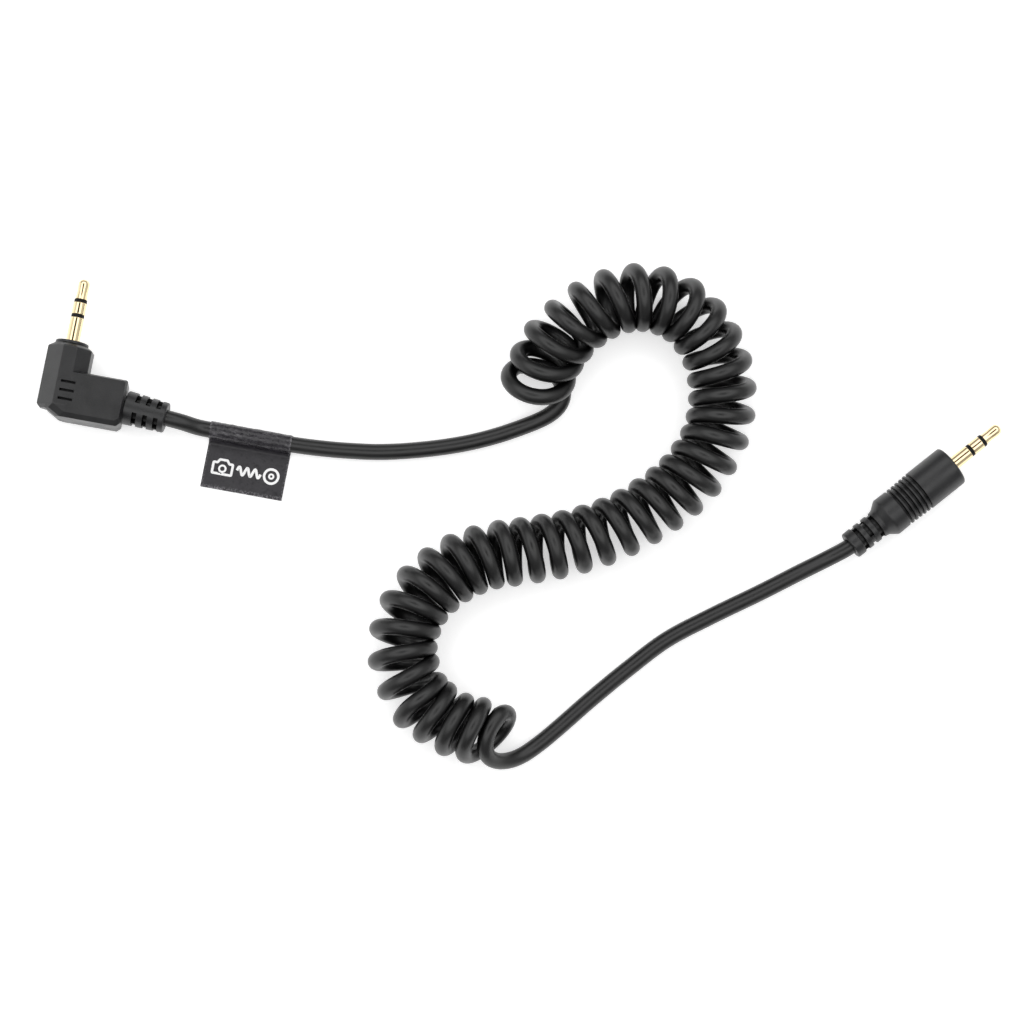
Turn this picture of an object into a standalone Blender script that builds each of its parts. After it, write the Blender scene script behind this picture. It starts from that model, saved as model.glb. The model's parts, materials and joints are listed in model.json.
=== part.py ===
"""Electronic shutter release cable: two moulded 2.5 mm plugs joined by a curly cord.

Metres, +Z up, lying on the plane z = 0. The camera plug (right-angle) is at -X, the remote
plug (straight) at +X. Each plug is built in its own frame: +X is the way its pin points,
x = 0 is the face that the pin stands out of, and z = 0 is the pin's axis.
"""
import math

import bmesh
import bpy
from mathutils import Matrix, Vector

MM = 0.001

# Cord
CORD_D = 3.0 * MM
COIL_D = 12.9 * MM
FACE_GAP = 0.3 * MM
SEAM_GAP = 0.1 * MM

# Camera plug, right-angle
CAMERA_MOUTH = (-81.675 * MM, 13.62 * MM)
CAMERA_PIN_ANGLE = 79.7
CAMERA_PIN = 12.0 * MM
BARREL_FLATS = 8.3 * MM
BARREL_LENGTH = 12.35 * MM
BARREL_CUT = 3.4 * MM
BARREL_ARM_CUT = 2.4 * MM
SHOULDER = 0.65 * MM
COLLAR_R = 3.05 * MM
COLLAR_T = 0.5 * MM
ARM_FRONT = -14.35 * MM
ARM_BACK = -5.65 * MM
ARM_REACH = 12.0 * MM
ARM_OVER = 2.3 * MM
ARM_CORNER = 1.3 * MM
ARM_END_CORNER = 0.7 * MM
ARM_INSIDE = 0.06 * MM
ARM_BORE_R = 2.2 * MM
LINE_STATIONS = (7.9 * MM, 9.5 * MM, 11.1 * MM)
LINE_LENGTH = 2.7 * MM
LINE_W = 0.4 * MM
RELIEF_LENGTH = 7.6 * MM
RELIEF_ROOT_R = 3.15 * MM
RELIEF_END_R = 2.8 * MM
RELIEF_TURN = -4.7
SLOT_W = 0.85 * MM
SLOT_STATIONS = (2.1 * MM, 4.1 * MM, 6.1 * MM)
SLOT_FLOOR_R = 2.05 * MM
SLOT_ANGLES = ((14.0, 72.0), (108.0, 166.0), (194.0, 252.0), (288.0, 346.0))

# Remote plug, straight
REMOTE_MOUTH = (79.35 * MM, -9.1 * MM)
REMOTE_PIN_ANGLE = 38.5
REMOTE_PIN = 11.35 * MM
REMOTE_R = 3.95 * MM
RIB_START = 7.7 * MM
RIB_PITCH = 0.92 * MM
RIB_COUNT = 5
GROOVE_W = 0.56 * MM
GROOVE_DEPTH = 0.55 * MM
REMOTE_LENGTH = 24.0 * MM
REMOTE_RELIEF_R = 2.6 * MM
REMOTE_NOTCH_R = 2.3 * MM
REMOTE_SLOT_FLOOR_R = 1.95 * MM
REMOTE_SLOTS = ((18.2 * MM, 10.0), (20.0 * MM, -40.0), (21.8 * MM, 10.0))

# What both plugs share
CAVITY_R = 3.15 * MM
FRONT_WALL = 0.5 * MM
JACKET_BORE_R = 1.6 * MM
WIRE_D = 0.7 * MM
WIRE_RING_R = 0.8 * MM
MOUTH_R = 1.55 * MM
SLOT_OUTER_R = 4.5 * MM
BEVEL = 0.7 * MM
ROUND = 24

# Pin, measured back from its end: tip contact's back, ring contact's front and back, sleeve's front (mm)
PIN_STEPS = (3.88, 4.52, 6.71, 7.35)

# Label folded round the camera lead
LABEL_CENTRE = (-48.9 * MM, -3.6 * MM)
LABEL_ANGLE = -10.4
LABEL_LENGTH = 15.2 * MM
LABEL_REACH = 10.4 * MM
LABEL_SHEET = 0.2 * MM
LABEL_HOLE_R = 1.6 * MM

CORD_R = CORD_D / 2
COIL_R = COIL_D / 2
CAMERA_AXIS_Z = BARREL_FLATS / 2
ARM_STATION = -(ARM_FRONT + ARM_BACK) / 2
REMOTE_AXIS_Z = REMOTE_R
LABEL_AXIS_Z = LABEL_HOLE_R + LABEL_SHEET + 0.05 * MM

# Axis of the curly cord: turns so far, x, y (mm)
COIL_ROUTE = [
    (1, 3.8, 6.8), (2, 5.4, 10.3), (3, 7.6, 13.8), (5, 14.2, 19.35), (7, 22.4, 21.6),
    (9, 30.4, 19.1), (11, 35.7, 12.2), (13, 37.4, 3.6), (15, 35.8, -4.6), (17, 31.3, -11.6),
    (19, 25.1, -16.8), (21, 17.8, -20.9), (23, 9.9, -23.6), (25, 1.9, -25.1), (27, -5.8, -26.35),
    (29, -12.85, -29.5), (31, -18.6, -35.4), (33, -20.8, -43.6), (35, -17.9, -51.9),
    (36, -14.8, -54.6), (37, -11.35, -56.6), (38, -7.3, -57.9), (39, -3.6, -59.1),
]
COIL_START = 0.55
COIL_END = 39.2

# Straight stretches of the cord: x, y, z (mm)
CAMERA_LEAD = [
    (-63.93, -0.49, 4.15), (-61.4, -1.1, 3.5), (-58.6, -1.82, 2.2), (-56.2, -2.26, 1.85),
    (-52.5, -2.94, 1.85), (-48.9, -3.6, 1.85), (-45.3, -4.26, 1.85), (-41.7, -4.92, 1.85),
    (-37.2, -5.5, 1.6), (-32.0, -6.0, 1.55), (-24.9, -6.3, 1.55), (-17.0, -5.8, 1.55),
    (-9.8, -4.75, 1.55), (-3.9, -3.3, 1.55), (1.4, -1.4, 1.55), (4.6, -0.2, 1.75),
    (6.4, 2.2, 2.85), (6.8, 3.12, 2.85),
]
REMOTE_LEAD = [
    (-3.2, -62.1, 2.85), (-2.3, -62.45, 2.85), (-0.2, -62.7, 1.95), (1.5, -61.7, 1.6),
    (3.4, -60.3, 1.55), (7.4, -56.95, 1.55), (13.4, -51.7, 1.55), (20.1, -46.2, 1.55),
    (27.0, -41.0, 1.55), (34.7, -36.9, 1.55), (44.2, -32.3, 1.65), (51.6, -28.6, 2.5),
    (57.0, -26.0, 3.75), (60.33, -24.22, 3.95),
]


def clear_scene():
    for obj in list(bpy.data.objects):
        bpy.data.objects.remove(obj, do_unlink=True)


def new_collection(name):
    coll = bpy.data.collections.new(name)
    bpy.context.scene.collection.children.link(coll)
    return coll


def new_material(name, colour, roughness, metallic=0.0):
    mat = bpy.data.materials.new(name)
    mat.use_nodes = True
    shader = mat.node_tree.nodes["Principled BSDF"]
    shader.inputs["Base Color"].default_value = (*colour, 1.0)
    shader.inputs["Roughness"].default_value = roughness
    shader.inputs["Metallic"].default_value = metallic
    return mat


def put(obj, coll, parent=None, mat=None):
    for owner in list(obj.users_collection):
        owner.objects.unlink(obj)
    coll.objects.link(obj)
    obj.parent = parent
    if mat:
        obj.data.materials.append(mat)
    return obj


def new_frame(name, coll, mouth, height, angle):
    """An empty on a plug's pin axis, at the face the pin stands out of."""
    frame = bpy.data.objects.new(name, None)
    coll.objects.link(frame)
    frame.location = (mouth[0], mouth[1], height)
    frame.rotation_euler = (0.0, 0.0, math.radians(angle))
    return frame


def smooth_route(points, count, params=None):
    """Points along one smooth curve through the route's own points."""
    pts = [Vector(p) for p in points]
    at = list(params) if params else [0.0]
    if not params:
        for a, b in zip(pts, pts[1:]):
            at.append(at[-1] + (b - a).length)
    slopes = []
    for i in range(len(pts)):
        lo = max(i - 1, 0)
        hi = min(i + 1, len(pts) - 1)
        slopes.append((pts[hi] - pts[lo]) / (at[hi] - at[lo]))
    out = []
    for step in range(count):
        t = at[0] + (at[-1] - at[0]) * step / (count - 1)
        i = max(k for k in range(len(at) - 1) if at[k] <= t + 1e-12)
        h = at[i + 1] - at[i]
        u = (t - at[i]) / h
        out.append(
            pts[i] * (2 * u**3 - 3 * u**2 + 1)
            + slopes[i] * h * (u**3 - 2 * u**2 + u)
            + pts[i + 1] * (3 * u**2 - 2 * u**3)
            + slopes[i + 1] * h * (u**3 - u**2)
        )
    return out


def tube(name, points, radius, resolution, coll, mat, parent=None):
    """A round cord along a list of points, with closed ends."""
    curve = bpy.data.curves.new(name, "CURVE")
    curve.dimensions = "3D"
    curve.bevel_depth = radius
    curve.bevel_resolution = resolution
    curve.use_fill_caps = True
    spline = curve.splines.new("POLY")
    spline.points.add(len(points) - 1)
    for knot, p in zip(spline.points, points):
        knot.co = (*p, 1.0)
    obj = bpy.data.objects.new(name, curve)
    return put(obj, coll, parent, mat)


def turned(name, profile, coll, mat, parent, closed=False, steps=ROUND):
    """A profile of (radius, station) turned about the parent's +X axis.

    The outer side runs from the pin's tip towards the cord. A closed profile leaves a bore.
    """
    mesh = bpy.data.meshes.new(name)
    verts = [(r, 0.0, s) for r, s in profile]
    edges = [(i, i + 1) for i in range(len(verts) - 1)]
    if closed:
        edges.append((len(verts) - 1, 0))
    mesh.from_pydata(verts, edges, [])
    obj = bpy.data.objects.new(name, mesh)
    put(obj, coll, parent, mat)
    obj.rotation_euler = (0.0, math.radians(90.0), 0.0)
    screw = obj.modifiers.new("Turn", "SCREW")
    screw.steps = steps
    screw.render_steps = steps
    screw.use_merge_vertices = True
    screw.merge_threshold = 1e-6
    screw.use_smooth_shade = True
    return obj


def flat_outline(name, outlines, thickness, coll, mat, parent=None):
    """A plate: closed outlines in the XY plane (later ones are holes), thick along Z."""
    curve = bpy.data.curves.new(name, "CURVE")
    curve.dimensions = "2D"
    curve.fill_mode = "BOTH"
    curve.extrude = thickness / 2
    for outline in outlines:
        spline = curve.splines.new("POLY")
        spline.points.add(len(outline) - 1)
        for knot, p in zip(spline.points, outline):
            knot.co = (p[0], p[1], 0.0, 1.0)
        spline.use_cyclic_u = True
    obj = bpy.data.objects.new(name, curve)
    return put(obj, coll, parent, mat)


def box(name, size, location, coll, parent=None, mat=None):
    bpy.ops.mesh.primitive_cube_add(size=1.0)
    obj = bpy.context.object
    obj.name = name
    obj.data.transform(Matrix.Diagonal((*size, 1.0)))
    put(obj, coll, parent, mat)
    obj.location = location
    return obj


def rod(name, radius, start, end, coll, parent=None, mat=None, sides=ROUND):
    """A cylinder between two points of the parent's frame."""
    start, end = Vector(start), Vector(end)
    bpy.ops.mesh.primitive_cylinder_add(vertices=sides, radius=radius, depth=(end - start).length)
    obj = bpy.context.object
    obj.name = name
    put(obj, coll, parent, mat)
    obj.location = (start + end) / 2
    obj.rotation_euler = (end - start).to_track_quat("Z", "Y").to_euler()
    return obj


def as_cutter(obj, cutters):
    put(obj, cutters, obj.parent)
    obj.hide_render = True
    obj.display_type = "WIRE"
    return obj


def boolean(obj, other, operation):
    mod = obj.modifiers.new(operation.title() + " " + other.name, "BOOLEAN")
    mod.operation = operation
    mod.object = other
    mod.solver = "EXACT"
    return mod


def contacts(prefix, frame, coll, mats, pin_length):
    """The coaxial stack of a 2.5 mm three-pole plug, its spacer and its solder lugs."""
    gold, black = mats["gold"], mats["insulator"]
    tip_end = pin_length / MM
    tip_back, ring_front, ring_back, sleeve_front = (tip_end - d for d in PIN_STEPS)
    step = 0.04

    def part(name, profile, mat, closed=True):
        turned(prefix + name, [(r * MM, s * MM) for r, s in profile], coll, mat, frame, closed)

    part("tip_contact", [
        (0.0, tip_end), (0.5, tip_end - 0.06), (0.93, tip_end - 0.4), (1.14, tip_end - 0.95),
        (1.16, tip_back), (0.35, tip_back), (0.35, -4.4), (0.0, -4.4),
    ], gold, closed=False)
    part("tip_insulator", [
        (0.40, tip_back - step), (1.21, tip_back - step), (1.21, ring_front + step),
        (0.60, ring_front + step), (0.60, -3.6), (0.40, -3.6),
    ], black)
    part("ring_contact", [
        (0.65, ring_front), (1.25, ring_front), (1.25, ring_back),
        (0.85, ring_back), (0.85, -2.9), (0.65, -2.9),
    ], gold)
    part("ring_insulator", [
        (0.90, ring_back - step), (1.21, ring_back - step), (1.21, sleeve_front + step),
        (1.05, sleeve_front + step), (1.05, -2.2), (0.90, -2.2),
    ], black)
    part("sleeve_contact", [
        (1.10, sleeve_front), (1.25, sleeve_front), (1.25, -0.8), (2.0, -0.8),
        (2.0, -1.4), (1.25, -1.4), (1.25, -1.9), (1.10, -1.9),
    ], gold)
    part("terminal_spacer", [(1.35, -1.7), (1.75, -1.7), (1.75, -2.5), (1.35, -2.5)], black)
    part("inner_mould", [(2.35, -1.6), (3.0, -1.6), (3.0, -7.4), (2.35, -7.4)], mats["inner"])
    solder_lug(prefix + "sleeve_lug", [(1.85, -1.5), (2.1, -1.5), (2.1, -4.8), (1.85, -4.8)],
               frame, coll, gold)
    solder_lug(prefix + "ring_lug", [
        (-0.90, -2.6), (-1.45, -2.6), (-1.45, -5.2), (-1.20, -5.2), (-1.20, -2.85), (-0.90, -2.85),
    ], frame, coll, gold)
    solder_lug(prefix + "tip_lug", [(-0.13, -4.5), (0.13, -4.5), (0.13, -6.6), (-0.13, -6.6)],
               frame, coll, gold)


def solder_lug(name, outline, frame, coll, mat):
    """A strip 0.9 mm wide whose outline is given as (height over the axis, station)."""
    lug = flat_outline(name, [[(s * MM, z * MM) for z, s in outline]], 0.9 * MM, coll, mat, frame)
    lug.rotation_euler = (math.radians(90.0), 0.0, 0.0)


def wires(prefix, frame, coll, mats, bends, end, across):
    """Three conductors from the lugs, through shared bends, to the end of the cord's jacket."""
    starts = (("tip", -7.0, 0.0, 300.0), ("ring", -5.55, -1.32, 180.0), ("sleeve", -5.15, 1.95, 60.0))
    for pole, station, height, clock in starts:
        turn = math.radians(clock)
        off = Vector((0.0, 0.0, WIRE_RING_R * math.cos(turn)))
        off += Vector(across) * WIRE_RING_R * math.sin(turn)
        route = [Vector((station * MM, 0.0, height * MM))]
        route += [Vector(b) + off for b in bends] + [Vector(end) + off]
        points = smooth_route(route, 12)
        tube(prefix + "wire_" + pole, points, WIRE_D / 2, 1, coll, mats["wire_" + pole], frame)


def camera_plug(coll, cutters, mats):
    prefix = "camera_plug_"
    frame = new_frame(prefix + "frame", coll, CAMERA_MOUTH, CAMERA_AXIS_Z, CAMERA_PIN_ANGLE)
    contacts(prefix, frame, coll, mats, CAMERA_PIN)
    turned(prefix + "front_collar", [
        (MOUTH_R, 0.0), (COLLAR_R, 0.0), (COLLAR_R, -COLLAR_T), (MOUTH_R, -COLLAR_T),
    ], coll, mats["pvc"], frame, closed=True)
    camera_housing(prefix, frame, coll, cutters, mats)
    bends = [(-8.6 * MM, -0.7 * MM, 0.0), (-9.6 * MM, -2.9 * MM, 0.0), (-ARM_STATION, -5.8 * MM, 0.0)]
    wire_end = (-ARM_STATION, -(ARM_REACH - 2.2 * MM), 0.0)
    wires(prefix, frame, coll, mats, bends, wire_end, (1.0, 0.0, 0.0))
    camera_relief(prefix, frame, coll, cutters, mats)


def barrel_section(inset):
    """The barrel's octagon as (across, up), its corners cut wider on the side away from the arm."""
    half = BARREL_FLATS / 2 - inset
    shrink = inset * (2.0 - math.sqrt(2.0))
    far = half - (BARREL_CUT - shrink)
    near = half - (BARREL_ARM_CUT - shrink)
    corners = [
        (far, half), (half, far), (half, -far), (far, -half),
        (-near, -half), (-half, -near), (-half, near), (-near, half),
    ]
    corners = [Vector(c) for c in corners]
    ring = []
    for a, b in zip(corners, corners[1:] + corners[:1]):
        ring += [a.lerp(b, k / 4) for k in range(4)]
    return ring


def loft(name, rings, coll, parent, mat=None):
    """A closed skin over rings of equally many points, with a flat face at each end."""
    count = len(rings[0])
    verts = [tuple(p) for ring in rings for p in ring]
    faces = [tuple(range(count)), tuple(reversed(range(len(verts) - count, len(verts))))]
    for r in range(len(rings) - 1):
        for k in range(count):
            n = (k + 1) % count
            faces.append((r * count + k, (r + 1) * count + k, (r + 1) * count + n, r * count + n))
    mesh = bpy.data.meshes.new(name)
    mesh.from_pydata(verts, [], faces)
    mesh.update()
    closed = bmesh.new()
    closed.from_mesh(mesh)
    bmesh.ops.recalc_face_normals(closed, faces=closed.faces)
    closed.to_mesh(mesh)
    closed.free()
    return put(bpy.data.objects.new(name, mesh), coll, parent, mat)


def arm_section(height, inset):
    """A level section of the arm; its far side stays inside the barrel's wide corner cuts."""
    front = ARM_FRONT + inset
    back = ARM_BACK - inset / 2
    end = -ARM_REACH + inset / 2
    over = min(ARM_OVER, BARREL_FLATS - BARREL_CUT - ARM_INSIDE - abs(height))
    outline = [
        (back, over), (front + ARM_CORNER, over), (front, over - ARM_OVER),
        (front, end + ARM_END_CORNER), (front + ARM_END_CORNER, end), (back, end),
    ]
    return [(x, y, height) for x, y in outline]


def camera_housing(prefix, frame, coll, cutters, mats):
    """An octagonal barrel and a square arm in one moulding, hollow for what it holds."""
    front = -COLLAR_T - SEAM_GAP
    back = front - BARREL_LENGTH
    full = barrel_section(0.0)
    shoulder = [p.normalized() * (COLLAR_R + 0.1 * MM) for p in full]
    rings = [(front, shoulder), (front - SHOULDER, full), (back + SHOULDER, full),
             (back, barrel_section(SHOULDER))]
    housing = loft(prefix + "housing", [[(x, p.x, p.y) for p in ring] for x, ring in rings],
                   coll, frame, mats["pvc"])
    half = BARREL_FLATS / 2
    level = BARREL_FLATS - BARREL_CUT - ARM_INSIDE - ARM_OVER
    arm = loft(prefix + "arm_block", [
        arm_section(-half, BEVEL), arm_section(BEVEL - half, 0.0), arm_section(-level, 0.0),
        arm_section(level, 0.0), arm_section(half - BEVEL, 0.0), arm_section(half, BEVEL),
    ], cutters, frame)
    boolean(housing, as_cutter(arm, cutters), "UNION")
    hollows = [
        rod(prefix + "cavity", CAVITY_R, (front - 0.6 * MM, 0, 0), (back + 1.0 * MM, 0, 0), cutters, frame),
        rod(prefix + "mouth", 2.3 * MM, (1.0 * MM, 0, 0), (front - 1.0 * MM, 0, 0), cutters, frame),
        rod(prefix + "arm_bore", ARM_BORE_R, (-ARM_STATION, 0, 0),
            (-ARM_STATION, -ARM_REACH - 1.0 * MM, 0), cutters, frame),
    ]
    for k, station in enumerate(LINE_STATIONS):
        hollows.append(box(prefix + "line_%d" % k, (LINE_W, LINE_LENGTH, 0.5 * MM),
                           (-station, -LINE_LENGTH / 2, half), cutters, frame))
    for hollow in hollows:
        boolean(housing, as_cutter(hollow, cutters), "DIFFERENCE")


def sector(name, inner, start, end, station, cutters, parent):
    """A cutter for a slot part of the way round: angles in degrees from +Y towards +Z."""
    steps = 8
    outline = []
    for radius, order in ((inner, range(steps + 1)), (SLOT_OUTER_R, range(steps, -1, -1))):
        for k in order:
            a = math.radians(start + (end - start) * k / steps)
            outline.append((radius * math.cos(a), radius * math.sin(a)))
    rings = [[(x, y, z) for y, z in outline] for x in (-station - SLOT_W / 2, -station + SLOT_W / 2)]
    return as_cutter(loft(name, rings, cutters, parent), cutters)


def camera_relief(prefix, frame, coll, cutters, mats):
    """The slotted sleeve that the cord leaves by, turned a little as the cord pulls it."""
    root = bpy.data.objects.new(prefix + "relief_frame", None)
    coll.objects.link(root)
    root.parent = frame
    root.location = (-ARM_STATION - 0.1 * MM, -ARM_REACH - SEAM_GAP, 0.0)
    root.rotation_euler = (0.0, 0.0, math.radians(90.0 + RELIEF_TURN))
    clear = RELIEF_ROOT_R * math.sin(math.radians(abs(RELIEF_TURN)))
    relief = turned(prefix + "strain_relief", [
        (JACKET_BORE_R, -clear), (RELIEF_ROOT_R, -clear), (RELIEF_END_R, -RELIEF_LENGTH),
        (JACKET_BORE_R, -RELIEF_LENGTH),
    ], coll, mats["pvc"], root, closed=True)
    for k, station in enumerate(SLOT_STATIONS):
        for side, (start, end) in enumerate(SLOT_ANGLES):
            name = prefix + "slot_%d_%d" % (k, side)
            slot = sector(name, SLOT_FLOOR_R, start, end, station, cutters, root)
            boolean(relief, slot, "DIFFERENCE")
    rod(prefix + "cord_end", CORD_R, (2.0 * MM, 0, 0), (-RELIEF_LENGTH, 0, 0), coll, root,
        mats["jacket"], sides=16)


def remote_profile():
    """The straight plug's outer side, front to cord, as (radius, station behind the face)."""
    outer = [(REMOTE_R - 0.35 * MM, 0.0), (REMOTE_R, 0.35 * MM), (REMOTE_R, RIB_START)]
    for k in range(RIB_COUNT + 1):
        edge = RIB_START + k * RIB_PITCH
        rib_r = REMOTE_R - (0.02 + 0.03 * k) * MM
        floor_r = rib_r - GROOVE_DEPTH
        outer += [(floor_r, edge), (floor_r, edge + GROOVE_W), (rib_r, edge + GROOVE_W)]
        if k < RIB_COUNT:
            outer.append((rib_r, edge + RIB_PITCH))
    outer += [(r * MM, s * MM) for r, s in (
        (3.8, 15.1), (3.6, 15.7), (3.1, 16.3), (2.75, 17.0), (2.65, 17.5),
    )]
    for station, _ in REMOTE_SLOTS:
        near, far = station - SLOT_W / 2, station + SLOT_W / 2
        outer += [(REMOTE_RELIEF_R, near), (REMOTE_NOTCH_R, near)]
        outer += [(REMOTE_NOTCH_R, far), (REMOTE_RELIEF_R, far)]
    outer.append((REMOTE_RELIEF_R, REMOTE_LENGTH))
    return outer


def remote_plug(coll, cutters, mats):
    prefix = "remote_plug_"
    frame = new_frame(prefix + "frame", coll, REMOTE_MOUTH, REMOTE_AXIS_Z, REMOTE_PIN_ANGLE)
    contacts(prefix, frame, coll, mats, REMOTE_PIN)
    bore = [
        (JACKET_BORE_R, REMOTE_LENGTH), (JACKET_BORE_R, 13.6 * MM), (2.5 * MM, 12.6 * MM),
        (2.5 * MM, 7.9 * MM), (CAVITY_R, 7.7 * MM), (CAVITY_R, FRONT_WALL),
        (MOUTH_R, FRONT_WALL), (MOUTH_R, 0.0),
    ]
    outline = [(r, -s) for r, s in remote_profile() + bore]
    housing = turned(prefix + "housing", outline, coll, mats["pvc"], frame, closed=True, steps=28)
    for k, (station, turn) in enumerate(REMOTE_SLOTS):
        for side, middle in enumerate((90.0 + turn, 270.0 + turn)):
            name = prefix + "slot_%d_%d" % (k, side)
            slot = sector(name, REMOTE_SLOT_FLOOR_R, middle - 70.0, middle + 70.0, station, cutters, frame)
            boolean(housing, slot, "DIFFERENCE")
    jacket_start = (-11.6 * MM, 0.0, 0.0)
    rod(prefix + "cord_end", CORD_R, jacket_start, (-REMOTE_LENGTH, 0, 0), coll, frame,
        mats["jacket"], sides=16)
    bends = [(-8.6 * MM, 0.0, 0.0), (-10.0 * MM, 0.0, 0.0)]
    wires(prefix, frame, coll, mats, bends, (-11.6 * MM + FACE_GAP, 0.0, 0.0), (0.0, 1.0, 0.0))


def cords(coll, mats):
    """The two straight leads, and the curly cord as one body of its outer diameter."""
    for name, route, count in (("camera_lead", CAMERA_LEAD, 34), ("remote_lead", REMOTE_LEAD, 36)):
        points = smooth_route([(x * MM, y * MM, z * MM) for x, y, z in route], count)
        tube(name, points, CORD_R, 2, coll, mats["jacket"])
    height = COIL_R + 0.05 * MM
    knots = [coil_axis(COIL_START, height)]
    knots += [Vector((x * MM, y * MM, height)) for _, x, y in COIL_ROUTE]
    turns = [COIL_START] + [t for t, _, _ in COIL_ROUTE]
    points = smooth_route(knots + [coil_axis(COIL_END, height)], 64, turns + [COIL_END])
    tube("curly_cord", points, COIL_R, 4, coll, mats["jacket"])


def coil_axis(turn, height):
    """The coil's axis just before its first route point or just after its last."""
    first = turn < COIL_ROUTE[0][0]
    near, far = (COIL_ROUTE[0], COIL_ROUTE[1]) if first else (COIL_ROUTE[-1], COIL_ROUTE[-2])
    share = (turn - near[0]) / (far[0] - near[0])
    x = near[1] + (far[1] - near[1]) * share
    y = near[2] + (far[2] - near[2]) * share
    return Vector((x * MM, y * MM, height))


def label_flag(coll, mats):
    """A vinyl label round the lead whose two ends are stuck together as a flag."""
    outer_r = LABEL_HOLE_R + LABEL_SHEET
    drop = LABEL_AXIS_Z - LABEL_SHEET - 0.05 * MM
    join = 0.3 * MM
    arc_start = math.asin(join / outer_r)
    arc = [arc_start + (2 * math.pi - 2 * arc_start) * k / 18 for k in range(19)]
    outer = [(outer_r * math.cos(a), outer_r * math.sin(a)) for a in arc]
    outer += [(LABEL_REACH, -drop - LABEL_SHEET), (LABEL_REACH, -drop + LABEL_SHEET)]
    hole = [(LABEL_HOLE_R * math.cos(a), LABEL_HOLE_R * math.sin(a))
            for a in (2 * math.pi * k / 16 for k in range(16))]
    label = flat_outline("label_flag", [outer, hole], LABEL_LENGTH, coll, mats["vinyl"])
    label.location = (*LABEL_CENTRE, LABEL_AXIS_Z)
    reach_angle = math.radians(LABEL_ANGLE - 90.0)
    label.rotation_euler = (math.radians(90.0), 0.0, reach_angle)


def build():
    clear_scene()
    coll = new_collection("shutter_release_cable")
    cutters = new_collection("cutters")
    mats = {
        "pvc": new_material("moulded_pvc", (0.035, 0.036, 0.038), 0.5),
        "jacket": new_material("cord_jacket", (0.02, 0.02, 0.021), 0.35),
        "gold": new_material("gold_plate", (0.95, 0.8, 0.5), 0.2, 1.0),
        "insulator": new_material("black_nylon", (0.015, 0.015, 0.015), 0.4),
        "inner": new_material("inner_polythene", (0.75, 0.75, 0.72), 0.5),
        "vinyl": new_material("label_vinyl", (0.02, 0.02, 0.022), 0.55),
        "wire_tip": new_material("red_wire", (0.6, 0.05, 0.04), 0.45),
        "wire_ring": new_material("white_wire", (0.85, 0.85, 0.83), 0.45),
        "wire_sleeve": new_material("bare_copper", (0.85, 0.45, 0.3), 0.3, 1.0),
    }
    camera_plug(coll, cutters, mats)
    remote_plug(coll, cutters, mats)
    cords(coll, mats)
    label_flag(coll, mats)


build()
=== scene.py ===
"""Curly shutter release cable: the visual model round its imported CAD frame.

The plugs are modelled in millimetres in their own frames, +X the way the pin points and x = 0
the face that the pin stands out of. The cord, its label and the stage are in the world's frame.
"""
import json
import math

import bmesh
import bpy
from mathutils import Matrix, Vector, noise


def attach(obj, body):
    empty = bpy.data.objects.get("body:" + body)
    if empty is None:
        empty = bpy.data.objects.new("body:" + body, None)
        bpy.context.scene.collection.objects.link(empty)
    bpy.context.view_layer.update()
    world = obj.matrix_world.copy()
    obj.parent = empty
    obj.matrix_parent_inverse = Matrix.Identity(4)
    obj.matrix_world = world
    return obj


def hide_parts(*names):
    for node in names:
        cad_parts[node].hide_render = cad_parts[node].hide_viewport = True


MM = 0.001
Z = Vector((0.0, 0.0, 1.0))

# Camera
CAMERA_ELEVATION = 82.0
CAMERA_DISTANCE = 0.62
CAMERA_TARGET = Vector((-0.001, -0.0172, 0.0))
CAMERA_LENS = 118.8
CAMERA_SENSOR = 36.0

# Light tent: angles from the point overhead that level faces mirror to the camera (degrees),
# strengths, and how far to each side a direction leans (-1 to 1) where a side light fades in
HOLE_FULL = 12.0
HOLE_EDGE = 16.0
HOLE_LIGHT = 0.02
RING_FULL = 34.0
RING_EDGE = 56.0
RING_LIGHT = 1.75
RING_SKY = 0.3
LEFT_FADE = (-0.95, -0.55)
LEFT_LIGHT = 1.05
RIGHT_FADE = (0.4, 0.9)
RIGHT_LIGHT = 0.6

# Floor
FLOOR_HALF = 1.5
FLOOR_COLOUR = (0.86, 0.86, 0.86, 1.0)
FLOOR_GLOW = 0.5

# Cord, and where its leads join the coil: turns, rings smoothed each way, times smoothed
CORD_D = 3.0 * MM
CORD_R = CORD_D / 2
FLOOR_GAP = 0.05 * MM
RINGS_PER_TURN = 44
LEAD_STEP = 0.8 * MM
CORD_SIDES = 24
JOIN_START = 0.25
JOIN_END = 39.25
JOIN_NUDGE = 0.06
JOIN_REACH = 16
JOIN_PASSES = 30

# Shading: faces that meet at more than the crease angle (degrees) keep a sharp edge, and a side
# longer than the span gets a guard point near each end (mm)
CREASE = 35.0
PIECE_CREASE = 30.0
LABEL_CREASE = 60.0
GUARD = 0.06
GUARD_SPAN = 0.4

# Both plugs (mm); the pin's steps are measured back from its end
CAMERA_AXIS = 4.15
REMOTE_AXIS = 3.95
CAMERA_PIN = 12.0
REMOTE_PIN = 11.35
PIN_STEPS = (3.88, 4.52, 6.71, 7.35)
POLE_GAP = 0.04
NOSE_R = 1.08
NOSE_LENGTH = 0.95
TURNED_SIDES = 72
FINE_SIDES = 96
HOLLOW_SIDES = 48
CAVITY_R = 3.15
MOUTH_R = 1.55
BORE = 1.6
SLOT_W = 0.85
SLOT_OUTER_R = 4.6
SLOT_STEPS = 16

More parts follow.
